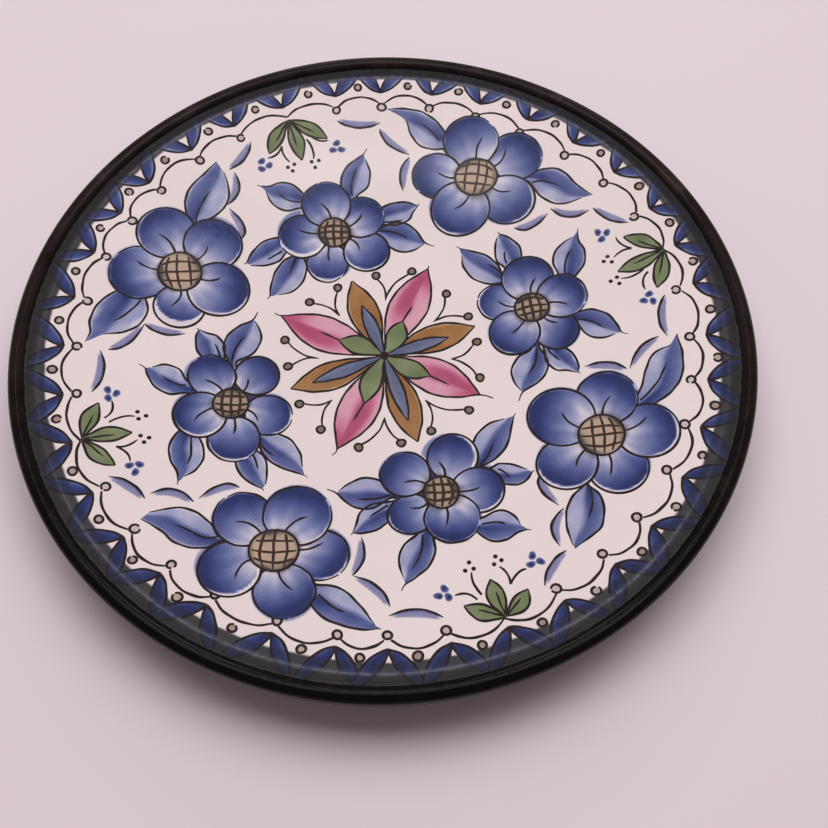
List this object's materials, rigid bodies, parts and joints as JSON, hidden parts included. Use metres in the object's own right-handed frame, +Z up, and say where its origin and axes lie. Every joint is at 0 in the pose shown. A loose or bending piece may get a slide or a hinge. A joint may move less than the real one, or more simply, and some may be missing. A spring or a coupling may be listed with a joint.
{
  "type": "painted ceramic plate",
  "caption": "Small round shallow plate with a rounded dark lip, a foot ring and a white well painted with blue flowers, green sprigs and a rosette.",
  "frame": {"origin": "centre of the circle that the foot ring stands on", "axes": "+Z up, out of the well; +Y towards the top of the painted design"},
  "size_m": [0.13, 0.13, 0.0144],
  "materials": {
    "clay": "bare red-brown earthenware, matt",
    "white_glaze": "glossy warm white glaze",
    "dark_glaze": "glossy brown-black glaze with faint ridges and pits",
    "blue_enamel": "glossy cobalt blue, shaded from dark to pale",
    "rose_enamel": "glossy rose pink, darker towards the tips",
    "ochre_enamel": "glossy ochre brown",
    "green_enamel": "glossy olive green",
    "seed_enamel": "glossy beige and grey, hatched",
    "ink_enamel": "glossy brown-black drawn line"
  },
  "bodies": {
    "root": {"clay_body": "clay", "well_glaze": "white_glaze", "rim_glaze": "dark_glaze", "foot_glaze": "dark_glaze", "centre_rosette": "rose_enamel", "large_blossom_1": "blue_enamel", "large_blossom_2": "blue_enamel", "large_blossom_3": "blue_enamel", "large_blossom_4": "blue_enamel", "small_blossom_1": "blue_enamel", "small_blossom_2": "blue_enamel", "small_blossom_3": "blue_enamel", "small_blossom_4": "blue_enamel", "leaf_sprig_1": "green_enamel", "leaf_sprig_2": "green_enamel", "leaf_sprig_3": "green_enamel", "leaf_sprig_4": "green_enamel", "scallop_line": "ink_enamel", "arch_border": "blue_enamel"}
  },
  "joints": []
}
